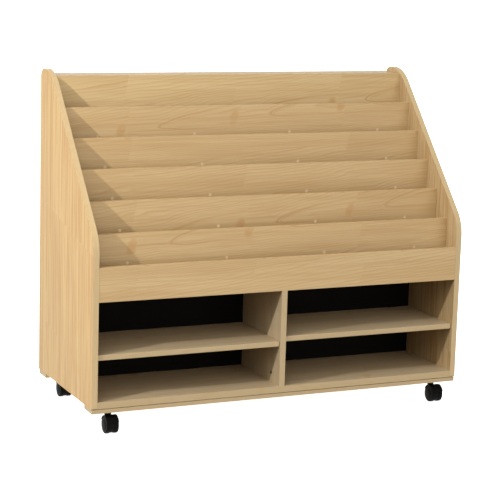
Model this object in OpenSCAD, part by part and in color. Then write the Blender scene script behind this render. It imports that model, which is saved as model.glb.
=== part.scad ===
// Book display cart: six stepped book pockets over a four-compartment base on swivel casters.
// Frame: origin on the floor under the middle of the cart, +Z up, front towards -Y, +X to the right.
// Helper coordinates: x from the cart's middle, y back from the front edge, z up from the floor.

/* [Cabinet] */
// Overall width over the two side panels
cart_w = 1220; // [1000:10:1400]
// Depth of the side panels, front edge to rear edge
cart_depth = 503; // [503:1:520]
// Height of the side panels, bottom edge to top edge
panel_h = 948; // [944:1:950]
// Thickness of panels, boards and ledges
board_t = 18; // [17:0.5:19]
// Angle of the sloping front edge of the side panels
slope_angle = 47.4; // [47.2:0.1:48]
// Height at which the slope would meet the front edge
knee_z = 497; // [496:1:502]
// Radius of the knee between front edge and slope
knee_radius = 110; // [90:1:130]
// Radius of the crown between slope and top edge
crown_radius = 120; // [100:1:125]
// Radius of the upper rear corner
rear_radius = 32; // [15:1:32]
// Thickness of the rear panel
rear_panel_t = 12; // [9:1:12]

/* [Book pockets] */
// Horizontal step from one display board to the next
step_run = 68; // [67:0.1:68.4]
// Vertical step from one display board to the next
step_rise = 85; // [84:0.1:86]
// Height of the lip above the ledge behind it
lip_h = 78.5; // [70:0.5:79]
// Front face of the lowest display board, from the front edge
first_board_y = 65.5; // [64:0.1:67]
// Top of the lowest display board above the panels' bottom edge
first_board_top = 501.3; // [500:0.1:503]
// Front face of the top board, from the front edge
top_board_y = 406.5; // [405.5:0.5:408]
// Top of the top board above the panels' bottom edge
top_board_top = 931.5; // [929:0.5:933]

/* [Storage base] */
// Bottom of the front board above the panels' bottom edge
front_board_bottom = 316; // [312:1:318]
// Top of the front board above the panels' bottom edge
front_board_top = 417.5; // [415:0.5:419]
// Setback of the front board, divider and bottom shelf
front_setback = 1; // [0.5:0.5:2]
// Depth of the compartments, from the front edge to the storage back
storage_depth = 281; // [270:1:290]
// Thickness of the storage back
storage_back_t = 6; // [5:1:8]
// Thickness of the bottom shelf
bottom_shelf_t = 20; // [18:0.5:20]
// Top of the left middle shelf above the panels' bottom edge
left_shelf_top = 159; // [120:1:220]
// Top of the right middle shelf above the panels' bottom edge
right_shelf_top = 173; // [120:1:220]
// Thickness of the middle shelves
mid_shelf_t = 16; // [14:0.5:18]
// Setback of the middle shelves' front edge
mid_shelf_setback = 7; // [5:1:25]

/* [Casters] */
// Wheel radius
wheel_r = 25; // [24:0.5:25]
// Width of one wheel's tread
wheel_w = 12.5; // [12:0.5:13]
// Distance from the swivel axis to the axle, level with the floor
trail = 21.5; // [21:0.5:22.5]
// Overall height of a caster
caster_h = 65; // [65:0.5:68]
// Swivel axis from the outer face of the side panel
caster_inset_x = 64; // [58:1:80]
// Swivel axis from the front or rear edge of the side panel
caster_inset_y = 38.5; // [38:0.5:42]
// Thickness of the caster rails
rail_t = 14; // [14:0.5:18]
// Depth of the caster rails
rail_depth = 67; // [64:1:70]

/* [Joinery] */
// Radius of the wooden dowels
dowel_r = 4; // [3:0.5:4]
// Radius of the wood plugs over the screws
plug_r = 5; // [4.5:0.5:5]
// Shank radius of the wood screws
screw_r = 2; // [1.5:0.25:2]
// Radius of the shelf pins
pin_r = 2.5; // [2:0.5:2.5]

/* [Hidden] */
$fn = 48;

// Height of the cabinet's bottom edge, and the width between the side panels
base_z = caster_h + rail_t;
inner_w = cart_w - 2 * board_t;
fit_gap = 0.02;

// The front wheels stand out a little before the panels; the frame's origin is midway between
// the wheels' front and the panels' rear edge
wheel_overhang = max(0, wheel_r + trail - caster_inset_y);
middle_y = (cart_depth - wheel_overhang) / 2;

// Dowels: their length and how deep they sit in a side panel
dowel_len = 32;
dowel_in_panel = 11;

// Screws: length, head radius, head height, depth of the plug hole, places along the width
screw_len = 40;
screw_head_r = 3.9;
screw_head_h = 2.2;
plug_depth = 6;
screw_xs = [-482, -166, 161, 478];
riser_screw_xs = [-400, 0, 400];
rail_screw_xs = [-430, -215, 0, 215, 430];
rear_screw_xs = [-450, -150, 150, 450];

// Shelf pins: places back from the front edge, length, depth in the panel
pin_ys = [61, 232];
pin_len = 16;
pin_in_panel = 8;
shelf_end_gap = 1.5;

// Spare round hole in the divider's left face: its height over the cabinet's bottom, and radius
divider_hole_z = 49;
divider_hole_r = 5;

// Caster parts
web_t = 12;
web_r = 23.5;
wheel_gap = 0.5;
wheel_dome = 3;
axle_r = 3;
axle_in_wheel = 11;
run_gap = 0.05;
kingpin_r = 4;
neck_r = 7;
hood_r = 26;
hood_rise = 3;
fender_low = 11;
well_r = 26.2;
hood_top = 54;
plate_t = 2.5;
plate_side = 40;
plate_hole = 14.5;
caster_screw_len = 13;
caster_spots = [
  [-1, 0], [1, 0],
  [-1, 1], [1, 1]];

// Caster rails: end gap, setback, and the shadow gap along the edge under the bottom shelf
rail_end_gap = 1.5;
rail_setback = 1.5;
shadow_gap_h = 2;
shadow_gap_depth = 5;

// Display boards and ledges, counted from the lowest one at 0
function board_y(k) = first_board_y + k * step_run;
function board_top(k) = base_z + first_board_top + k * step_rise;
function ledge_top(k) = board_top(k) - lip_h;
function ledge_mid(k) = ledge_top(k) - board_t / 2;
function board_bottom(k) = k == 0 ? storage_top_z + board_t : ledge_top(k - 1);
function next_board_y(k) = k == 4 ? top_board_y : board_y(k + 1);
storage_top_z = base_z + front_board_bottom;
front_top_z = base_z + front_board_top;
top_z = base_z + top_board_top;

// Underside of the middle shelf on one side: -1 is the left shelf, 1 the right one
function mid_shelf_z(side) = base_z + (side < 0 ? left_shelf_top : right_shelf_top) - mid_shelf_t;

// Dowel places [y, z] in the ends of each kind of board
function upright_dowels(y, low, high) = [[y + board_t / 2, low + 30], [y + board_t / 2, high - 35]];
function flat_dowels(ys, z) = [for (y = ys) [y, z]];
front_dowels = upright_dowels(front_setback, storage_top_z, front_top_z);
function board_dowels(k) = upright_dowels(board_y(k), board_bottom(k), board_top(k));
top_board_dowels = upright_dowels(top_board_y, ledge_top(4), top_z);
function ledge_dowels(k) = flat_dowels([board_y(k) + board_t + 16, next_board_y(k) + 3], ledge_mid(k));
storage_top_dowels = flat_dowels([70, 160, 250], storage_top_z + board_t / 2);
bottom_dowels = flat_dowels([90, 240, 390], base_z + bottom_shelf_t / 2);
cap_dowels = flat_dowels([top_board_y + board_t + 14, cart_depth - rear_panel_t - 14], top_z - board_t / 2);
end_dowels = concat(
  front_dowels, [for (k = [0:4]) each board_dowels(k)], top_board_dowels,
  [for (k = [0:4]) each ledge_dowels(k)], storage_top_dowels, bottom_dowels, cap_dowels);
divider_dowel_ys = [60, 220];

module in_frame() {
  translate([0, -middle_y, 0]) children();
}

// A rod along +X starting at a point
module rod_x(r, len) {
  rotate([0, 90, 0]) cylinder(r = r, h = len);
}

// A rod along +Y starting at a point
module rod_y(r, len) {
  rotate([-90, 0, 0]) cylinder(r = r, h = len);
}

// A countersunk wood screw with its head's flat at the origin, driven along +Z
module wood_screw(len = screw_len) {
  difference() {
    union() {
      cylinder(r1 = screw_head_r, r2 = screw_r - fit_gap, h = screw_head_h);
      cylinder(r = screw_r - fit_gap, h = len - 4);
      translate([0, 0, len - 4]) cylinder(r1 = screw_r - fit_gap, r2 = 0.4, h = 4);
    }
    for (a = [0, 90]) {
      rotate([0, 0, a]) cube([0.9, 4.2, 2.4], center = true);
    }
  }
}

// The hole that such a screw cuts
module screw_hole(len = screw_len) {
  cylinder(r1 = screw_head_r + fit_gap, r2 = screw_r, h = screw_head_h);
  cylinder(r = screw_r, h = len);
}

// A plank between the side panels, with dowel holes in both ends
module plank(y, z, dy, dz, dowels) {
  difference() {
    translate([-inner_w / 2, y, z]) cube([inner_w, dy, dz]);
    for (side = [-1, 1], p = dowels) {
      translate([side * inner_w / 2, p[0], p[1]])
        rotate([0, 90, 0])
          cylinder(r = dowel_r, h = 2 * (dowel_len - dowel_in_panel), center = true);
    }
  }
}

/* ---- Side panels ---- */

function arc(centre, r, from, to, steps) =
  [for (i = [0:steps]) centre + r * [cos(from + (to - from) * i / steps), sin(from + (to - from) * i / steps)]];

knee_tangent = knee_radius * tan((90 - slope_angle) / 2);
slope_top_y = (panel_h - knee_z) / tan(slope_angle);
crown_tangent = crown_radius * tan(slope_angle / 2);

module side_profile() {
  foot_r = 3;
  polygon(concat(
    arc([foot_r, foot_r], foot_r, 270, 180, 4),
    arc([knee_radius, knee_z - knee_tangent], knee_radius, 180, 90 + slope_angle, 18),
    arc([slope_top_y + crown_tangent, panel_h - crown_radius], crown_radius, 90 + slope_angle, 90, 18),
    arc([cart_depth - rear_radius, panel_h - rear_radius], rear_radius, 90, 0, 10),
    arc([cart_depth - foot_r, foot_r], foot_r, 0, -90, 4)));
}

// The left panel, or the right panel seen mirrored, with its inner face on the plane x = 0
module side_panel(side) {
  difference() {
    translate([-board_t, 0, base_z])
      rotate([90, 0, 90]) linear_extrude(board_t) side_profile();
    for (p = end_dowels) {
      translate([-dowel_in_panel, p[0], p[1]]) rod_x(dowel_r, dowel_in_panel + 1);
    }
    for (y = pin_ys) {
      translate([-pin_in_panel, y, mid_shelf_z(side) - pin_r]) rod_x(pin_r, pin_in_panel + 1);
    }
  }
}

module side_panel_left() {
  color("burlywood") in_frame() translate([-inner_w / 2, 0, 0]) side_panel(-1);
}

module side_panel_right() {
  color("burlywood") in_frame() mirror([1, 0, 0]) translate([-inner_w / 2, 0, 0]) side_panel(1);
}

/* ---- Display boards and ledges ---- */

module front_board() {
  color("wheat") in_frame()
    plank(front_setback, storage_top_z, board_t, front_top_z - storage_top_z, front_dowels);
}

// A board that stands on the ledge in front of it and is screwed to the ledge behind it
module display_board(k) {
  color("wheat") in_frame() difference() {
    plank(board_y(k), board_bottom(k), board_t, board_top(k) - board_bottom(k), board_dowels(k));
    for (x = screw_xs) {
      translate([x, board_y(k), ledge_mid(k)]) {
        translate([0, -1, 0]) rod_y(plug_r, plug_depth + 1);
        translate([0, plug_depth, 0]) rotate([-90, 0, 0]) screw_hole();
      }
    }
    riser_screw_holes(board_y(k), board_bottom(k));
  }
}

module riser_screw_holes(y, bottom) {
  for (x = riser_screw_xs) {
    translate([x, y + board_t / 2, bottom - board_t]) screw_hole();
  }
}

module display_board_1() { display_board(0); }
module display_board_2() { display_board(1); }
module display_board_3() { display_board(2); }
module display_board_4() { display_board(3); }
module display_board_5() { display_board(4); }

module top_board() {
  color("wheat") in_frame() difference() {
    plank(top_board_y, ledge_top(4), board_t, top_z - ledge_top(4), top_board_dowels);
    riser_screw_holes(top_board_y, ledge_top(4));
  }
}

module pocket_ledge(k) {
  front = board_y(k) + board_t;
  color("wheat") in_frame() difference() {
    plank(front, ledge_top(k) - board_t, next_board_y(k) + board_t - front, board_t, ledge_dowels(k));
    for (x = screw_xs) {
      translate([x, board_y(k) + plug_depth, ledge_mid(k)]) rotate([-90, 0, 0]) screw_hole();
    }
    riser_screw_holes(next_board_y(k), ledge_top(k));
  }
}

module pocket_ledge_1() { pocket_ledge(0); }
module pocket_ledge_2() { pocket_ledge(1); }
module pocket_ledge_3() { pocket_ledge(2); }
module pocket_ledge_4() { pocket_ledge(3); }
module pocket_ledge_5() { pocket_ledge(4); }

module top_cap() {
  front = top_board_y + board_t;
  color("wheat") in_frame() difference() {
    plank(front, top_z - board_t, cart_depth - rear_panel_t - front, board_t, cap_dowels);
    rear_screw_holes();
  }
}

/* ---- Storage base ---- */

module divider_dowel_holes() {
  for (y = divider_dowel_ys, z = [base_z + bottom_shelf_t, storage_top_z]) {
    translate([0, y, z]) cylinder(r = dowel_r, h = 2 * dowel_in_panel, center = true);
  }
}

module storage_top() {
  front = front_setback + board_t;
  color("wheat") in_frame() difference() {
    plank(front, storage_top_z, storage_depth + storage_back_t - front, board_t, storage_top_dowels);
    riser_screw_holes(board_y(0), board_bottom(0));
    divider_dowel_holes();
  }
}

module bottom_shelf() {
  color("wheat") in_frame() difference() {
    plank(front_setback, base_z, cart_depth - rear_panel_t - front_setback, bottom_shelf_t, bottom_dowels);
    divider_dowel_holes();
    rear_screw_holes();
    rail_screw_holes();
  }
}

module storage_back() {
  color("black") in_frame()
    translate([-inner_w / 2, storage_depth, base_z + bottom_shelf_t])
      cube([inner_w, storage_back_t, storage_top_z - base_z - bottom_shelf_t]);
}

module divider() {
  bottom = base_z + bottom_shelf_t;
  color("wheat") in_frame() difference() {
    translate([-board_t / 2, front_setback, bottom])
      cube([board_t, storage_depth - front_setback, storage_top_z - bottom]);
    divider_dowel_holes();
    for (y = pin_ys, side = [-1, 1]) {
      translate([side * board_t / 2, y, mid_shelf_z(side) - pin_r])
        rotate([0, 90, 0]) cylinder(r = pin_r, h = 2 * pin_in_panel, center = true);
    }
    translate([-board_t / 2, pin_ys[0], base_z + divider_hole_z])
      rotate([0, 90, 0]) cylinder(r = divider_hole_r, h = 2 * pin_in_panel, center = true);
  }
}

// A loose shelf between the divider and a side panel
module mid_shelf(side) {
  width = (inner_w - board_t) / 2 - 2 * shelf_end_gap;
  centre = side * (inner_w + board_t) / 4;
  color("wheat") in_frame()
    translate([centre - width / 2, mid_shelf_setback, mid_shelf_z(side)])
      cube([width, storage_depth - mid_shelf_setback - 2, mid_shelf_t]);
}

module mid_shelf_left() { mid_shelf(-1); }
module mid_shelf_right() { mid_shelf(1); }

module shelf_pins() {
  reach = pin_len - pin_in_panel;
  color("silver") in_frame()
    for (y = pin_ys, side = [-1, 1], x = [board_t / 2 - pin_in_panel, inner_w / 2 - reach]) {
      translate([side < 0 ? -x - pin_len : x, y, mid_shelf_z(side) - pin_r])
        rod_x(pin_r - fit_gap, pin_len);
    }
}

module rear_panel() {
  color("wheat") in_frame() difference() {
    translate([-inner_w / 2, cart_depth - rear_panel_t, base_z])
      cube([inner_w, rear_panel_t, top_z - base_z]);
    rear_screw_holes();
  }
}

/* ---- Caster rails ---- */

// A rail at y, with its shadow gap cut from gap_y
module caster_rail(y, gap_y) {
  color("wheat") in_frame() difference() {
    translate([-cart_w / 2 + rail_end_gap, y, caster_h])
      cube([cart_w - 2 * rail_end_gap, rail_depth, rail_t]);
    translate([-cart_w / 2, gap_y, base_z - shadow_gap_h])
      cube([cart_w, shadow_gap_depth + 1, shadow_gap_h + 1]);
    rail_screw_holes();
    caster_screw_places() cylinder(r = screw_r, h = caster_screw_len);
  }
}

module caster_rail_front() { caster_rail(rail_setback, rail_setback - 1); }

module caster_rail_rear() {
  y = cart_depth - rail_setback - rail_depth;
  caster_rail(y, y + rail_depth - shadow_gap_depth);
}

/* ---- Fasteners ---- */

// Screw places: each puts its children at the screw's head, pointing along the screw
module ledge_screw_places() {
  for (k = [0:4], x = screw_xs) {
    translate([x, board_y(k) + plug_depth, ledge_mid(k)]) rotate([-90, 0, 0]) children();
  }
}

module riser_screw_places() {
  for (x = riser_screw_xs) {
    for (k = [0:4]) {
      translate([x, board_y(k) + board_t / 2, board_bottom(k) - board_t]) children();
    }
    translate([x, top_board_y + board_t / 2, ledge_top(4) - board_t]) children();
  }
}

module rear_screw_places() {
  for (x = rear_screw_xs, z = [base_z + bottom_shelf_t / 2, top_z - board_t / 2]) {
    translate([x, cart_depth, z]) rotate([90, 0, 0]) children();
  }
}

module rail_screw_places() {
  middle = rail_setback + rail_depth / 2;
  for (x = rail_screw_xs, y = [middle, cart_depth - middle]) {
    translate([x, y, caster_h]) children();
  }
}

module rear_screw_holes() {
  rear_screw_places() screw_hole();
}

module rail_screw_holes() {
  rail_screw_places() screw_hole(28);
}

module screw_plugs() {
  color("cornsilk") in_frame()
    for (k = [0:4], x = screw_xs) {
      translate([x, board_y(k) - 0.4, ledge_mid(k)]) {
        translate([0, 0.4, 0]) rod_y(plug_r - fit_gap, plug_depth - fit_gap);
        rod_y(plug_r - 0.5, 0.5);
      }
    }
}

module ledge_screws() {
  color("silver") in_frame() ledge_screw_places() wood_screw();
}

module riser_screws() {
  color("silver") in_frame() riser_screw_places() wood_screw();
}

module rear_panel_screws() {
  color("silver") in_frame() rear_screw_places() wood_screw();
}

module rail_screws() {
  color("silver") in_frame() rail_screw_places() wood_screw(28);
}

module dowels() {
  color("tan") in_frame() {
    for (side = [-1, 1], p = end_dowels) {
      translate([side * (inner_w / 2 + dowel_in_panel - dowel_len / 2), p[0], p[1]])
        rotate([0, 90, 0]) cylinder(r = dowel_r - fit_gap, h = dowel_len, center = true);
    }
    for (y = divider_dowel_ys, z = [base_z + bottom_shelf_t, storage_top_z]) {
      translate([0, y, z]) cylinder(r = dowel_r - fit_gap, h = 2 * dowel_in_panel, center = true);
    }
  }
}

/* ---- Casters ---- */

// Puts its children at each caster's swivel axis, or at the one numbered i
module at_caster(i) {
  side = caster_spots[i][0];
  rear = caster_spots[i][1];
  translate([
    side * (cart_w / 2 - caster_inset_x),
    rear == 1 ? cart_depth - caster_inset_y : caster_inset_y,
    0]) children();
}

module caster_screw_places() {
  for (i = [0:3]) {
    at_caster(i) for (sx = [-1, 1], sy = [-1, 1]) {
      translate([sx * plate_hole, sy * plate_hole, caster_h]) children();
    }
  }
}

// Pan-head screws up through the plates into the rails
module caster_screws() {
  head_h = 2;
  color("dimgray") in_frame() caster_screw_places() {
    cylinder(r = screw_r - fit_gap, h = caster_screw_len - 1);
    translate([0, 0, -plate_t - head_h]) difference() {
      cylinder(r1 = 2.6, r2 = 3.6, h = head_h);
      for (a = [0, 90]) {
        rotate([0, 0, a]) cube([0.8, 4, 2], center = true);
      }
    }
    translate([0, 0, -plate_t - 0.5]) cylinder(r = screw_r - fit_gap, h = plate_t + 1);
  }
}

module caster_plate(i) {
  corner = 4;
  color("black") in_frame() at_caster(i) translate([0, 0, caster_h - plate_t]) difference() {
    union() {
      translate([-plate_side / 2 + corner, -plate_side / 2, 0])
        cube([plate_side - 2 * corner, plate_side, plate_t]);
      translate([-plate_side / 2, -plate_side / 2 + corner, 0])
        cube([plate_side, plate_side - 2 * corner, plate_t]);
      for (sx = [-1, 1], sy = [-1, 1]) {
        translate([sx * (plate_side / 2 - corner), sy * (plate_side / 2 - corner), 0])
          cylinder(r = corner, h = plate_t);
      }
    }
    for (sx = [-1, 1], sy = [-1, 1]) {
      translate([sx * plate_hole, sy * plate_hole, -1]) cylinder(r = screw_r, h = plate_t + 2);
    }
    translate([0, 0, -1]) cylinder(r = kingpin_r, h = plate_t + 2);
  }
}

// The fixed pin on which the hood swivels: its wider neck shows between plate and hood
module caster_kingpin(i) {
  pin_bottom = hood_top - 22;
  color("dimgray") in_frame() at_caster(i) {
    translate([0, 0, pin_bottom]) cylinder(r = kingpin_r, h = hood_top - pin_bottom + 1);
    translate([0, 0, hood_top + 0.2]) cylinder(r = neck_r, h = caster_h - plate_t - hood_top - 0.2);
    translate([0, 0, caster_h - plate_t - 1])
      cylinder(r = kingpin_r - fit_gap, h = plate_t + 1 - fit_gap);
  }
}

// The swivelling hood: a round web between the wheels, a boss round the kingpin, and a fender
module caster_hood(i) {
  body_w = web_t + 2 * (wheel_gap + wheel_w);
  color([0.1, 0.1, 0.1]) in_frame() at_caster(i) difference() {
    union() {
      translate([-web_t / 2, -trail, wheel_r]) rod_x(web_r, web_t);
      translate([-web_t / 2, -trail, 22]) cube([web_t, trail + 8, 22]);
      intersection() {
        translate([-body_w / 2, -trail, wheel_r + hood_rise]) rod_x(hood_r, body_w);
        translate([-body_w / 2, -trail - 30, wheel_r + fender_low]) cube([body_w, 60, 40]);
      }
      translate([0, 0, 40]) cylinder(r = 10, h = hood_top - 40);
    }
    for (side = [-1, 1]) {
      translate([side * (web_t / 2 + body_w / 2), -trail, wheel_r])
        rotate([0, 90, 0]) cylinder(r = well_r, h = body_w, center = true);
    }
    translate([0, 0, hood_top - 23]) cylinder(r = kingpin_r + run_gap, h = 30);
    translate([-web_t, -trail, wheel_r]) rod_x(axle_r, 2 * web_t);
  }
}

module caster_axle(i) {
  axle_len = web_t + 2 * (wheel_gap + axle_in_wheel);
  color("silver") in_frame() at_caster(i)
    translate([-axle_len / 2, -trail, wheel_r]) rod_x(axle_r - fit_gap / 2, axle_len);
}

// One wheel: a rounded tread, a domed outer face with a ring groove, and a blind bore for the axle
module caster_wheel(i, side) {
  edge = 2.5;
  dome_r = 70;
  groove_r = 13;
  color([0.08, 0.08, 0.08]) in_frame() at_caster(i)
    translate([side * (web_t / 2 + wheel_gap), -trail, wheel_r])
      rotate([0, side * 90, 0])
        rotate_extrude($fn = 72)
          difference() {
            union() {
              square([wheel_r, wheel_w - edge]);
              square([wheel_r - edge, wheel_w]);
              translate([wheel_r - edge, wheel_w - edge]) circle(r = edge, $fn = 32);
              intersection() {
                square([wheel_r - edge, wheel_w + wheel_dome]);
                translate([0, wheel_w + wheel_dome - dome_r]) circle(r = dome_r, $fn = 240);
              }
            }
            translate([groove_r, wheel_w + 0.8]) square([1.6, wheel_dome]);
            translate([-1, -1]) square([axle_r + run_gap + 1, axle_in_wheel + 1.4]);
            translate([wheel_r - 1, -1]) square([2, 2]);
            translate([-dome_r - 1, -dome_r]) square([dome_r + 1, 2 * dome_r]);
          }
}

module front_left_plate() { caster_plate(0); }
module front_left_kingpin() { caster_kingpin(0); }
module front_left_hood() { caster_hood(0); }
module front_left_axle() { caster_axle(0); }
module front_left_wheel_a() { caster_wheel(0, -1); }
module front_left_wheel_b() { caster_wheel(0, 1); }
module front_right_plate() { caster_plate(1); }
module front_right_kingpin() { caster_kingpin(1); }
module front_right_hood() { caster_hood(1); }
module front_right_axle() { caster_axle(1); }
module front_right_wheel_a() { caster_wheel(1, -1); }
module front_right_wheel_b() { caster_wheel(1, 1); }
module rear_left_plate() { caster_plate(2); }
module rear_left_kingpin() { caster_kingpin(2); }
module rear_left_hood() { caster_hood(2); }
module rear_left_axle() { caster_axle(2); }
module rear_left_wheel_a() { caster_wheel(2, -1); }
module rear_left_wheel_b() { caster_wheel(2, 1); }
module rear_right_plate() { caster_plate(3); }
module rear_right_kingpin() { caster_kingpin(3); }
module rear_right_hood() { caster_hood(3); }
module rear_right_axle() { caster_axle(3); }
module rear_right_wheel_a() { caster_wheel(3, -1); }
module rear_right_wheel_b() { caster_wheel(3, 1); }

side_panel_left();
side_panel_right();
front_board();
display_board_1();
display_board_2();
display_board_3();
display_board_4();
display_board_5();
top_board();
pocket_ledge_1();
pocket_ledge_2();
pocket_ledge_3();
pocket_ledge_4();
pocket_ledge_5();
storage_top();
top_cap();
rear_panel();
storage_back();
divider();
bottom_shelf();
mid_shelf_left();
mid_shelf_right();
shelf_pins();
caster_rail_front();
caster_rail_rear();
screw_plugs();
ledge_screws();
riser_screws();
rear_panel_screws();
rail_screws();
dowels();
caster_screws();
front_left_plate();
front_left_kingpin();
front_left_hood();
front_left_axle();
front_left_wheel_a();
front_left_wheel_b();
front_right_plate();
front_right_kingpin();
front_right_hood();
front_right_axle();
front_right_wheel_a();
front_right_wheel_b();
rear_left_plate();
rear_left_kingpin();
rear_left_hood();
rear_left_axle();
rear_left_wheel_a();
rear_left_wheel_b();
rear_right_plate();
rear_right_kingpin();
rear_right_hood();
rear_right_axle();
rear_right_wheel_a();
rear_right_wheel_b();
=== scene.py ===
"""Looks of the wheeled book display cart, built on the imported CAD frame.

The frame is in metres: origin on the floor under the middle of the cart, +Z up, front towards -Y.
"""

import math

import bpy
from mathutils import Matrix, Vector


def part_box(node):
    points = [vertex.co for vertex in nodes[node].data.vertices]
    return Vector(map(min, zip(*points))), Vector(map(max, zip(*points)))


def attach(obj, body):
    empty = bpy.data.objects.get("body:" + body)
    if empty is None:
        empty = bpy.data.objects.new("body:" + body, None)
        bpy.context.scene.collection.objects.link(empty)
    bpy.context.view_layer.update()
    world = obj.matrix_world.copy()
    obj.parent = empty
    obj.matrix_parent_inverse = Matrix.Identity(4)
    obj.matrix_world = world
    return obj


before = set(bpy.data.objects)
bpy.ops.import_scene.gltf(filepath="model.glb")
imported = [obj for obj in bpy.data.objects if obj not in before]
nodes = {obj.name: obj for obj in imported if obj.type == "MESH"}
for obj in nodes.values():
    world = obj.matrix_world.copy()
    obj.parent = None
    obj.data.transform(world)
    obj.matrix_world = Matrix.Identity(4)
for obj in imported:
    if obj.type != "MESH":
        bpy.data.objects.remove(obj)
bpy.context.view_layer.update()
scene = bpy.context.scene

MM = 0.001


# ---------------------------------------------------------------- node helpers

def add_node(tree, kind, inputs=None, **settings):
    """A shader node with its settings, and its inputs set or linked by socket name or index."""
    node = tree.nodes.new(kind)
    for name, value in settings.items():
        setattr(node, name, value)
    for key, value in (inputs or {}).items():
        socket = node.inputs[key]
        if isinstance(value, bpy.types.NodeSocket):
            tree.links.new(value, socket)
        else:
            socket.default_value = value
    return node


def calc(tree, operation, first, second=0.0, third=None, clamp=False):
    """One maths node; each input is a number or a socket."""
    inputs = {0: first, 1: second}
    if third is not None:
        inputs[2] = third
    return add_node(tree, "ShaderNodeMath", inputs, operation=operation, use_clamp=clamp).outputs[0]


def remap(tree, value, from_low, from_high, to_low=0.0, to_high=1.0, smooth=True):
    """value taken from one range to another, with soft ends."""
    node = add_node(
        tree,
        "ShaderNodeMapRange",
        {"Value": value, "From Min": from_low, "From Max": from_high, "To Min": to_low, "To Max": to_high},
        interpolation_type="SMOOTHSTEP" if smooth else "LINEAR",
    )
    return node.outputs["Result"]


def noise(tree, vector, scale, detail=2.0, roughness=0.5, seed=None):
    """Noise from 0 to 1; seed is a socket that moves it to another place."""
    inputs = {"Vector": vector, "Scale": scale, "Detail": detail, "Roughness": roughness}
    if seed is not None:
        inputs["W"] = seed
    dimensions = "3D" if seed is None else "4D"
    return add_node(tree, "ShaderNodeTexNoise", inputs, noise_dimensions=dimensions).outputs["Fac"]


def mix_colour(tree, factor, first, second, blend="MIX"):
    """One colour mixed with another; each is a socket or an RGB triple."""
    node = add_node(tree, "ShaderNodeMix", {"Factor": factor}, data_type="RGBA", blend_type=blend)
    for socket, value in ((node.inputs[6], first), (node.inputs[7], second)):
        if isinstance(value, bpy.types.NodeSocket):
            tree.links.new(value, socket)
        else:
            socket.default_value = (*value, 1.0)
    return node.outputs[2]


def stretched(tree, vector, along, across, depth):
    """vector divided by a feature's size along the grain, across it and into the board."""
    node = add_node(
        tree, "ShaderNodeMapping", {"Vector": vector, "Scale": (1 / along, 1 / across, 1 / depth)}
    )
    return node.outputs["Vector"]


def combine(tree, x, y, z):
    return add_node(tree, "ShaderNodeCombineXYZ", {0: x, 1: y, 2: z}).outputs[0]


def new_material(name):
    """An empty node material with its output, and the Principled shader that feeds it."""
    material = bpy.data.materials.new(name)
    material.use_nodes = True
    tree = material.node_tree
    tree.nodes.clear()
    shader = tree.nodes.new("ShaderNodeBsdfPrincipled")
    output = tree.nodes.new("ShaderNodeOutputMaterial")
    tree.links.new(shader.outputs["BSDF"], output.inputs["Surface"])
    return material, tree, shader


def bump(tree, shader, height, distance, strength=1.0):
    """A bump of that height in metres on the shader's normal."""
    node = add_node(
        tree, "ShaderNodeBump", {"Height": height, "Distance": distance, "Strength": strength}
    )
    tree.links.new(node.outputs["Normal"], shader.inputs["Normal"])


# ---------------------------------------------------------------- maple

# The veneer is laid in staves. A stave repeats every STAVE_STEP along and across the grain, in mm,
# and both steps lean a little, so the grain climbs slightly along a board.
STAVE_STEP = (375.0, 34.0)
STAVE_RISE = (62.0, 305.0)

# Where the arch's tip and the knot sit in a stave, in mm from its corner.
TIP_PLACE = (131.0, 111.0)
KNOT_PAST_TIP = (228.0, 2.0)
KNOT_REACH = (17.0, 24.0)

ARCH_FLATNESS = 0.25
RING_SPACING = 8.5


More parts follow.
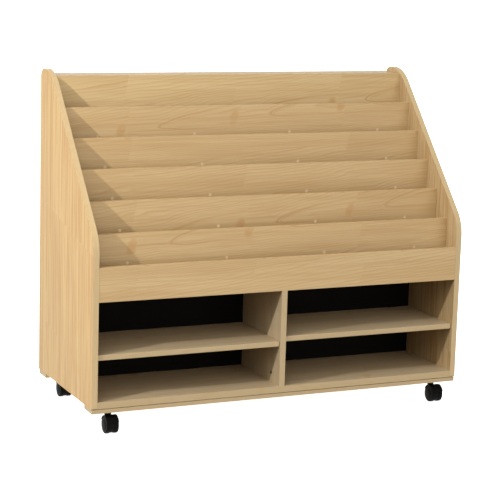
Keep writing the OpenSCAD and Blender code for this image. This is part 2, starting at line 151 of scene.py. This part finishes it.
def grain_group():
    """Node group: maple from a point in mm, with x along the grain, y across it and z into the board.

    Each stave holds one cathedral arch: parabolas round one tip, which run out into near-straight
    lines towards the stave's ends.
    """
    tree = bpy.data.node_groups.new("maple_grain", "ShaderNodeTree")
    socket = tree.interface.new_socket
    socket("Point", in_out="INPUT", socket_type="NodeSocketVector")
    socket("Board", in_out="INPUT", socket_type="NodeSocketFloat")
    socket("Dip", in_out="INPUT", socket_type="NodeSocketFloat")
    for name in ("Line", "Arch", "Knot", "Band", "Stripe", "Streak", "Fleck", "Stave"):
        socket(name, in_out="OUTPUT", socket_type="NodeSocketFloat")
    source = tree.nodes.new("NodeGroupInput")
    target = tree.nodes.new("NodeGroupOutput")
    point = source.outputs["Point"]
    board = source.outputs["Board"]

    # A slow wander of the grain, so that no line is ruled straight.
    wander = noise(tree, stretched(tree, point, 260, 90, 90), 1.0, 2.0, 0.5, board)
    ripple = noise(tree, stretched(tree, point, 70, 22, 22), 1.0, 2.0, 0.5, board)
    parts = add_node(tree, "ShaderNodeSeparateXYZ", {0: point}).outputs
    along = parts[0]
    across = calc(tree, "MULTIPLY_ADD", parts[2], source.outputs["Dip"], parts[1])
    across = calc(tree, "ADD", across, calc(tree, "MULTIPLY_ADD", wander, 26.0, -13.0))
    across = calc(tree, "ADD", across, calc(tree, "MULTIPLY_ADD", ripple, 5.0, -2.5))

    # Which stave, and where in it.
    area = STAVE_STEP[0] * STAVE_RISE[1] - STAVE_STEP[1] * STAVE_RISE[0]
    step = calc(
        tree,
        "MULTIPLY_ADD",
        along,
        STAVE_RISE[1] / area,
        calc(tree, "MULTIPLY", parts[1], -STAVE_RISE[0] / area),
    )
    rise = calc(
        tree,
        "MULTIPLY_ADD",
        across,
        STAVE_STEP[0] / area,
        calc(tree, "MULTIPLY", along, -STAVE_STEP[1] / area),
    )
    column = calc(tree, "FLOOR", step)
    row = calc(tree, "FLOOR", rise)
    stave_seed = add_node(
        tree, "ShaderNodeTexWhiteNoise", {"Vector": combine(tree, column, row, board)}
    ).outputs["Value"]
    column_seed = add_node(
        tree, "ShaderNodeTexWhiteNoise", {"Vector": combine(tree, column, 7.0, board)}
    ).outputs["Value"]

    # Distances from the arch's tip, in mm. The lower side of an arch is the flatter one.
    tip_along = calc(tree, "MULTIPLY_ADD", calc(tree, "FRACT", step), STAVE_STEP[0], -TIP_PLACE[0])
    tip_across = calc(tree, "MULTIPLY_ADD", calc(tree, "FRACT", rise), STAVE_RISE[1], -TIP_PLACE[1])
    upper = calc(tree, "MULTIPLY", calc(tree, "MAXIMUM", tip_across, 0.0), 0.8)
    lower = calc(tree, "MULTIPLY", calc(tree, "MINIMUM", tip_across, 0.0), -1.4)
    side = calc(tree, "ADD", upper, lower)
    pull = remap(tree, side, 12.0, 80.0, ARCH_FLATNESS, 0.03)
    flat_along = calc(tree, "MULTIPLY", calc(tree, "MAXIMUM", tip_along, -32.0), pull)
    reach = calc(
        tree,
        "SQRT",
        calc(tree, "MULTIPLY_ADD", side, side, calc(tree, "MULTIPLY", flat_along, flat_along)),
    )
    ring = calc(tree, "SUBTRACT", reach, flat_along)

    # Growth lines: a sharp late edge and a soft early side, unevenly strong.
    squeeze = noise(tree, stretched(tree, point, 500, 45, 45), 1.0, 1.0, 0.5, board)
    rings = calc(tree, "DIVIDE", ring, RING_SPACING)
    phase = calc(tree, "ADD", rings, calc(tree, "MULTIPLY", squeeze, 2.2))
    place = calc(tree, "FRACT", phase)
    soft_side = calc(tree, "POWER", place, 3.0)
    late_edge = remap(tree, place, 1.0, 0.93)
    line = calc(tree, "MULTIPLY", soft_side, late_edge)
    number = calc(tree, "FLOOR", phase)
    strength = add_node(
        tree, "ShaderNodeTexWhiteNoise", {"Vector": combine(tree, number, row, column)}
    ).outputs["Value"]
    fade = noise(tree, stretched(tree, point, 180, 30, 30), 1.0, 2.0, 0.5, stave_seed)
    strength = calc(
        tree,
        "MULTIPLY",
        remap(tree, strength, 0.0, 1.0, 0.5, 1.0),
        remap(tree, fade, 0.3, 0.65, 0.55, 1.0),
    )
    line = calc(tree, "MULTIPLY", line, strength)

    # The arch line itself, the strongest of all, which fades towards the stave's end.
    arch = remap(tree, calc(tree, "ABSOLUTE", calc(tree, "SUBTRACT", ring, 11.0)), 3.4, 0.4)
    arch = calc(tree, "MULTIPLY", arch, remap(tree, tip_along, 190.0, 10.0, 0.25, 1.0))

    # A small knot stain just before the seam.
    knot_along = calc(tree, "DIVIDE", calc(tree, "SUBTRACT", tip_along, KNOT_PAST_TIP[0]), KNOT_REACH[0])
    knot_across = calc(tree, "DIVIDE", calc(tree, "SUBTRACT", tip_across, KNOT_PAST_TIP[1]), KNOT_REACH[1])
    knot_reach = calc(
        tree,
        "MULTIPLY_ADD",
        knot_along,
        knot_along,
        calc(tree, "MULTIPLY", knot_across, knot_across),
    )
    patchy = remap(tree, ripple, 0.3, 0.6, 0.4, 1.0)
    knot = calc(tree, "MULTIPLY", remap(tree, knot_reach, 1.3, 0.1), patchy)

    # Tone in broad bands and narrow stripes, fine fibre streaks, and short flecks.
    band = noise(tree, stretched(tree, point, 700, 34, 34), 1.0, 2.0, 0.55, stave_seed)
    stripe = noise(tree, stretched(tree, point, 330, 6.5, 6.5), 1.0, 2.0, 0.6, stave_seed)
    streak = noise(tree, stretched(tree, point, 48, 1.1, 1.1), 1.0, 3.0, 0.65, stave_seed)
    fleck = noise(tree, stretched(tree, point, 9, 0.7, 0.7), 1.0, 1.0, 0.5, stave_seed)

    for name, value in (
        ("Line", line),
        ("Arch", arch),
        ("Knot", knot),
        ("Band", band),
        ("Stripe", stripe),
        ("Streak", streak),
        ("Fleck", remap(tree, fleck, 0.66, 0.8)),
        ("Stave", column_seed),
    ):
        tree.links.new(value, target.inputs[name])
    return tree


GRAIN = grain_group()


def maple(
    name, tone, axes, origin, seed, arch_strength=1.0, dip=0.6, stripes=0.3, edge_and_shade_tone=None, gloss=0.2
):
    """Lacquered maple. axes names the frame's axes along the grain, across it and into the board;
    origin is a stave's corner in mm, in the same order. dip is how far the rings lean with depth,
    stripes how strong the narrow stripes are. The edge tone colours the faces that don't look along the
    board's depth: their own tone on most boards, painted shade on the top board. gloss is the shader's
    specular level.
    """
    material, tree, shader = new_material(name)
    place = tree.nodes.new("ShaderNodeTexCoord").outputs["Object"]
    parts = add_node(tree, "ShaderNodeSeparateXYZ", {0: place}).outputs
    turned = combine(tree, *(parts["XYZ".index(axis)] for axis in axes))
    point = add_node(
        tree,
        "ShaderNodeVectorMath",
        {0: turned, 1: (1 / MM,) * 3, 2: tuple(-v for v in origin)},
        operation="MULTIPLY_ADD",
    ).outputs[0]
    grain = add_node(tree, "ShaderNodeGroup", node_tree=GRAIN)
    tree.links.new(point, grain.inputs["Point"])
    grain.inputs["Board"].default_value = seed
    grain.inputs["Dip"].default_value = dip
    out = grain.outputs

    pale = tuple(min(1.0, c * f) for c, f in zip(tone, (1.06, 1.07, 1.10)))
    deep = tuple(c * f for c, f in zip(tone, (0.93, 0.90, 0.86)))
    line_tone = tuple(c * f for c, f in zip(tone, (0.80, 0.66, 0.52)))
    knot_tone = tuple(c * f for c, f in zip(tone, (0.86, 0.68, 0.50)))
    colour = mix_colour(tree, remap(tree, out["Band"], 0.32, 0.68), deep, pale)
    stave = remap(tree, out["Stave"], 0.0, 1.0, -0.4, 0.4, smooth=False)
    paler = calc(tree, "MAXIMUM", stave, 0.0)
    deeper = calc(tree, "MULTIPLY", calc(tree, "MINIMUM", stave, 0.0), -1.0)
    colour = mix_colour(tree, paler, colour, pale)
    colour = mix_colour(tree, deeper, colour, deep)
    for figure, share, tint in (
        (remap(tree, out["Streak"], 0.42, 0.68), 0.7, deep),
        (remap(tree, out["Stripe"], 0.44, 0.62), stripes, line_tone),
        (out["Line"], 0.95, line_tone),
        (out["Arch"], 0.7 * arch_strength, line_tone),
        (out["Knot"], 0.7 * arch_strength, knot_tone),
        (out["Fleck"], 0.45, line_tone),
    ):
        colour = mix_colour(tree, calc(tree, "MULTIPLY", figure, share), colour, tint)
    # The edge faces take the edge tone: the edges' own tone on most boards, painted shade on the top
    # board.
    if edge_and_shade_tone:
        facing = tree.nodes.new("ShaderNodeTexCoord").outputs["Normal"]
        depth = add_node(tree, "ShaderNodeSeparateXYZ", {0: facing}).outputs["XYZ".index(axes[2])]
        edge_faces = remap(tree, calc(tree, "ABSOLUTE", depth), 0.75, 0.45)
        colour = mix_colour(tree, calc(tree, "MULTIPLY", edge_faces, 0.8), colour, edge_and_shade_tone)
    tree.links.new(colour, shader.inputs["Base Color"])

    rough = calc(tree, "MULTIPLY_ADD", out["Streak"], 0.16, 0.36)
    rough = calc(tree, "MULTIPLY_ADD", out["Line"], 0.08, rough)
    tree.links.new(rough, shader.inputs["Roughness"])
    shader.inputs["Specular IOR Level"].default_value = gloss
    relief = calc(tree, "MULTIPLY_ADD", out["Line"], -0.5, calc(tree, "MULTIPLY", out["Streak"], 0.5))
    relief = calc(tree, "SUBTRACT", relief, calc(tree, "MULTIPLY", out["Fleck"], 0.6))
    bump(tree, shader, relief, 0.00012, 0.8)
    return material


BOARD_TONE = (0.515, 0.365, 0.182)
SIDE_TONE = (0.54, 0.36, 0.138)
SIDE_EDGE_TONE = (0.50, 0.375, 0.205)
# The top tone is the board maple made lighter: painted light for the brighter top row.
TOP_PAINTED_LIGHT_TONE = (0.556, 0.410, 0.212)
# The cap tone is painted shade: the top cap and the top board's top edge are made darker than the maple to
# stand in for the dim light that grazes them.
CAP_PAINTED_SHADE_TONE = (0.37, 0.275, 0.14)
RIGHT_TONE = (0.48, 0.355, 0.19)
SHELF_TONE = (0.47, 0.375, 0.235)
SHELF_EDGE_TONE = (0.43, 0.31, 0.16)

# Height in mm of the fine surface on everything that isn't wood grain.
FINE_BUMP = 0.05


def plain(name, colour, roughness, metallic=0.0, mottle=0.12, grain_mm=3.0, gloss=0.5):
    """Plastic, plated steel or stained board, and near-black painted shade on the storage back and in the
    spare hole:
    a tone that varies by the share mottle, over a surface as fine as grain_mm. gloss is the shader's
    specular level.
    """
    material, tree, shader = new_material(name)
    place = tree.nodes.new("ShaderNodeTexCoord").outputs["Object"]
    broad = noise(tree, place, 1 / (20 * grain_mm * MM), 3.0)
    fine = noise(tree, place, 1 / (grain_mm * MM), 3.0, 0.6)
    light = tuple(min(1.0, c * (1 + mottle)) for c in colour)
    dark = tuple(c * (1 - mottle) for c in colour)
    tone = mix_colour(tree, remap(tree, broad, 0.3, 0.7), dark, light)
    tone = mix_colour(tree, calc(tree, "MULTIPLY", remap(tree, fine, 0.5, 0.75), 0.5), tone, dark)
    tree.links.new(tone, shader.inputs["Base Color"])
    rough = calc(tree, "MULTIPLY_ADD", fine, 0.22, roughness - 0.11)
    tree.links.new(rough, shader.inputs["Roughness"])
    shader.inputs["Metallic"].default_value = metallic
    shader.inputs["Specular IOR Level"].default_value = gloss
    bump(tree, shader, fine, FINE_BUMP * MM, 0.5)
    return material


# ---------------------------------------------------------------- materials on the CAD nodes

def dress(names, material):
    """The material on every slot of each named CAD node."""
    for name in names:
        mesh = nodes[name].data
        mesh.materials.clear()
        mesh.materials.append(material)


def with_part(*words):
    """The CAD nodes whose names end with one of the words."""
    return [name for name in nodes if name.endswith(words)]


board_maple = maple("maple_board", BOARD_TONE, "XZY", (-414.6, 735.6, 0.0), 0.0, dip=0.0)
# The top board: a lighter copy of the board maple as painted light, with its edges in the cap tone as
# painted shade.
top_maple_painted_light_shade = maple(
    "maple_top_painted_light_shade", TOP_PAINTED_LIGHT_TONE, "XZY", (-414.6, 735.6, 0.0), 0.0, dip=0.0, edge_and_shade_tone=CAP_PAINTED_SHADE_TONE, gloss=0.04
)
# The top cap's whole surface is painted shade, in the darker cap tone.
cap_maple_painted_shade = maple("maple_cap_painted_shade", CAP_PAINTED_SHADE_TONE, "XYZ", (0.0, 0.0, 0.0), 3.0, gloss=0.04)
shelf_maple = maple("maple_shelf", SHELF_TONE, "XYZ", (0.0, 0.0, 0.0), 3.0, edge_and_shade_tone=SHELF_EDGE_TONE)
left_maple = maple(
    "maple_left", SIDE_TONE, "ZYX", (210.0, 0.0, 0.0), 5.0, 0.3, stripes=0.95, edge_and_shade_tone=SIDE_EDGE_TONE
)
right_maple = maple(
    "maple_right", RIGHT_TONE, "ZYX", (210.0, 0.0, 0.0), 6.0, 0.3, stripes=0.95, edge_and_shade_tone=SIDE_EDGE_TONE
)
divider_maple = maple(
    "maple_divider", SHELF_TONE, "ZYX", (0.0, 0.0, 0.0), 8.0, 0.3, edge_and_shade_tone=SHELF_EDGE_TONE
)

upright = with_part("side_panel_left", "side_panel_right")
lying = ["storage_top", "bottom_shelf", "mid_shelf_left", "mid_shelf_right"]
lying += ["caster_rail_front", "caster_rail_rear"] + [f"pocket_ledge_{i}" for i in range(1, 6)]
facing = ["front_board", "rear_panel"] + [f"display_board_{i}" for i in range(1, 6)]
dress(facing, board_maple)
dress(lying, shelf_maple)
dress(["top_board"], top_maple_painted_light_shade)
dress(["top_cap"], cap_maple_painted_shade)
dress(["side_panel_left"], left_maple)
dress(["side_panel_right"], right_maple)
dress(["divider"], divider_maple)
dress(["screw_plugs", "dowels"], plain("plug_wood", (0.62, 0.46, 0.26), 0.5, mottle=0.08, grain_mm=0.8))
# The storage back is a dark closing board, made near-black past a real board's tone: painted shade for the
# deep rear of the compartments.
dress(["storage_back"], plain("dark_board_and_painted_shade", (0.004, 0.0035, 0.003), 0.8, gloss=0.05))
zinc_nodes = ["shelf_pins", "ledge_screws", "riser_screws", "rear_panel_screws", "rail_screws"]
dress(zinc_nodes + with_part("_axle"), plain("zinc", (0.62, 0.61, 0.58), 0.38, metallic=1.0, grain_mm=0.6))
dress(
    ["caster_screws"] + with_part("_plate", "_kingpin"),
    plain("black_steel", (0.01, 0.01, 0.01), 0.4, metallic=0.6),
)
dress(with_part("_hood"), plain("nylon_hood", (0.003, 0.0026, 0.0024), 0.42, grain_mm=1.2, gloss=0.05))
dress(
    with_part("_wheel_a", "_wheel_b"),
    plain("nylon_wheel", (0.0025, 0.0022, 0.002), 0.5, grain_mm=1.2, gloss=0.05),
)


# ---------------------------------------------------------------- added piece

def lathe(name, profile, segments=32):
    """A mesh turned round the X axis from (x, radius) points in mm; a radius of 0 closes an end."""
    points, faces = [], []
    for x, radius in profile:
        for k in range(segments):
            angle = 2 * math.pi * k / segments
            points.append((x * MM, radius * MM * math.cos(angle), radius * MM * math.sin(angle)))
    for ring in range(len(profile) - 1):
        for k in range(segments):
            a, b = ring * segments + k, ring * segments + (k + 1) % segments
            faces.append((a, b, b + segments, a + segments))
    mesh = bpy.data.meshes.new(name)
    mesh.from_pydata(points, [], faces)
    made = bpy.data.objects.new(name, mesh)
    scene.collection.objects.link(made)
    return made


# A near-black cup lines the spare hole in the divider's left face: painted shade for the dark inside of
# the hole.
# Its profile runs from the mouth over the outside to the bottom and back up the inside; (depth, radius) in
# mm.
SHADE_CUP_MOUTH, SHADE_CUP_FLOOR, SHADE_CUP_END = 0.3, 6.9, 7.6
SHADE_CUP_BORE, SHADE_CUP_OUTSIDE = 4.2, 4.85
SPARE_HOLE_PLACE = (0.0, 60.0, 29.0)
SHADE_CUP_PROFILE = [
    (SHADE_CUP_MOUTH, SHADE_CUP_BORE),
    (SHADE_CUP_MOUTH, SHADE_CUP_OUTSIDE),
    (SHADE_CUP_END, SHADE_CUP_OUTSIDE),
    (SHADE_CUP_END, 0.0),
    (SHADE_CUP_FLOOR, 0.0),
    (SHADE_CUP_FLOOR, SHADE_CUP_BORE),
    (SHADE_CUP_MOUTH, SHADE_CUP_BORE),
]
divider_low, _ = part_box("divider")
shade_cup = lathe("spare_hole_shade_cup", SHADE_CUP_PROFILE)
shade_cup.location = Vector(divider_low) + Vector(SPARE_HOLE_PLACE) * MM
# The cup's near-black colour is painted shade.
shade_cup.data.materials.append(plain("hole_painted_shade_black", (0.004, 0.0035, 0.003), 0.6, grain_mm=0.8, gloss=0.05))
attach(shade_cup, "cabinet")


# ---------------------------------------------------------------- eased edges

# The nodes whose edges are rounded over, and by how much in mm.
EASED = (
    (upright + ["divider", "top_board", "top_cap"] + lying + facing, 1.5),
    (with_part("_hood", "_wheel_a", "_wheel_b"), 0.5),
)
for names, width in EASED:
    for name in names:
        weld = nodes[name].modifiers.new("weld", "WELD")
        weld.merge_threshold = 0.00001
        bevel = nodes[name].modifiers.new("eased", "BEVEL")
        bevel.width = width * MM
        bevel.segments = 3
        bevel.limit_method = "ANGLE"
        bevel.angle_limit = math.radians(40)
        normals = nodes[name].modifiers.new("normals", "WEIGHTED_NORMAL")
        normals.keep_sharp = False


# ---------------------------------------------------------------- floor, light and camera

def floor():
    """A pale studio floor, as bright as the plain white behind it."""
    half = 60.0
    mesh = bpy.data.meshes.new("studio_floor")
    corners = [(-half, -half, 0.0), (half, -half, 0.0), (half, half, 0.0), (-half, half, 0.0)]
    mesh.from_pydata(corners, [], [(0, 1, 2, 3)])
    made = bpy.data.objects.new("studio_floor", mesh)
    scene.collection.objects.link(made)
    material, tree, shader = new_material("floor_paper")
    place = tree.nodes.new("ShaderNodeTexCoord").outputs["Object"]
    fibre = noise(tree, place, 90.0, 3.0)
    tone = mix_colour(tree, remap(tree, fibre, 0.3, 0.7), (0.90, 0.90, 0.90), (0.93, 0.93, 0.93))
    tree.links.new(tone, shader.inputs["Base Color"])
    shader.inputs["Roughness"].default_value = 0.9
    shader.inputs["Specular IOR Level"].default_value = 0.0
    shader.inputs["Emission Color"].default_value = (1.0, 1.0, 1.0, 1.0)
    shader.inputs["Emission Strength"].default_value = 0.9
    material.cycles.emission_sampling = "NONE"
    mesh.materials.append(material)
    # The world's low light reaches the cart as if the floor weren't there.
    made.visible_diffuse = False
    made.visible_shadow = False


floor()

# How bright the studio is, by height and side. Left is -X, right is +X, and front is what lies
# between them, so it takes in the rear too.
STUDIO = (
    ("high", "left", 2.5),
    ("high", "front", 0.8),
    ("middle", "front", 3.2),
    ("low", "front", 1.3),
)


def studio_light():
    """A white world that is brighter in some directions than in others."""
    world = bpy.data.worlds.new("studio")
    world.use_nodes = True
    tree = world.node_tree
    background = tree.nodes["Background"]
    background.inputs["Color"].default_value = (1.0, 1.0, 1.0, 1.0)
    towards = tree.nodes.new("ShaderNodeTexCoord").outputs["Generated"]
    x, _, z = add_node(tree, "ShaderNodeSeparateXYZ", {0: towards}).outputs
    part = {
        "high": remap(tree, z, 0.1, 0.6),
        "low": remap(tree, z, 0.0, -0.2),
        "left": remap(tree, x, 0.1, -0.5),
        "right": remap(tree, x, 0.3, 0.8),
    }
    for name, first, second in (("middle", "high", "low"), ("front", "left", "right")):
        rest = calc(tree, "SUBTRACT", 1.0, part[first])
        part[name] = calc(tree, "SUBTRACT", rest, part[second])
    strength = 0.0
    for height, side, power in STUDIO:
        share = calc(tree, "MULTIPLY", part[height], part[side])
        strength = calc(tree, "MULTIPLY_ADD", share, power, strength)
    # What the view sees behind the cart, past the floor's edge, is plain white.
    seen = tree.nodes.new("ShaderNodeLightPath").outputs["Is Camera Ray"]
    tree.links.new(calc(tree, "MAXIMUM", strength, seen), background.inputs["Strength"])
    return world


scene.world = studio_light()


def area_lamp(name, place, target, size, power):
    """A white round area lamp that faces target."""
    data = bpy.data.lights.new(name, "AREA")
    data.shape = "DISK"
    data.size = size
    data.energy = power
    lamp = bpy.data.objects.new(name, data)
    lamp.location = place
    lamp.rotation_mode = "QUATERNION"
    lamp.rotation_quaternion = (Vector(target) - Vector(place)).to_track_quat("-Z", "Y")
    scene.collection.objects.link(lamp)
    return lamp


key = area_lamp("key", place=(-2.35, -0.92, 1.50), target=(-0.3, 0.1, 0.7), size=0.035, power=36.0)

# The key lamp leaves the floor alone, so that the cart's long shadow doesn't cross the background.
lit = bpy.data.collections.new("lit_by_key")
for made in nodes.values():
    lit.objects.link(made)
key.light_linking.receiver_collection = lit

CAMERA_PLACE = (-2.1993, -4.7547, 1.4439)
CAMERA_YAW, CAMERA_PITCH, CAMERA_ROLL = 0.43216, -0.1829, 0.029763
camera_data = bpy.data.cameras.new("camera")
camera_data.lens = 122.62
camera_data.sensor_width = 36.0
camera_data.clip_start = 0.1
camera_data.clip_end = 200.0
camera = bpy.data.objects.new("camera", camera_data)
ahead = Vector(
    (
        math.sin(CAMERA_YAW) * math.cos(CAMERA_PITCH),
        math.cos(CAMERA_YAW) * math.cos(CAMERA_PITCH),
        math.sin(CAMERA_PITCH),
    )
)
level = Vector((math.cos(CAMERA_YAW), -math.sin(CAMERA_YAW), 0.0))
above = level.cross(ahead)
camera_x = level * math.cos(CAMERA_ROLL) + above * math.sin(CAMERA_ROLL)
camera_y = above * math.cos(CAMERA_ROLL) - level * math.sin(CAMERA_ROLL)
turned = Matrix((camera_x, camera_y, -ahead)).transposed()
camera.matrix_world = Matrix.Translation(CAMERA_PLACE) @ turned.to_4x4()
scene.collection.objects.link(camera)
scene.camera = camera

scene.view_settings.view_transform = "Standard"
scene.view_settings.look = "None"
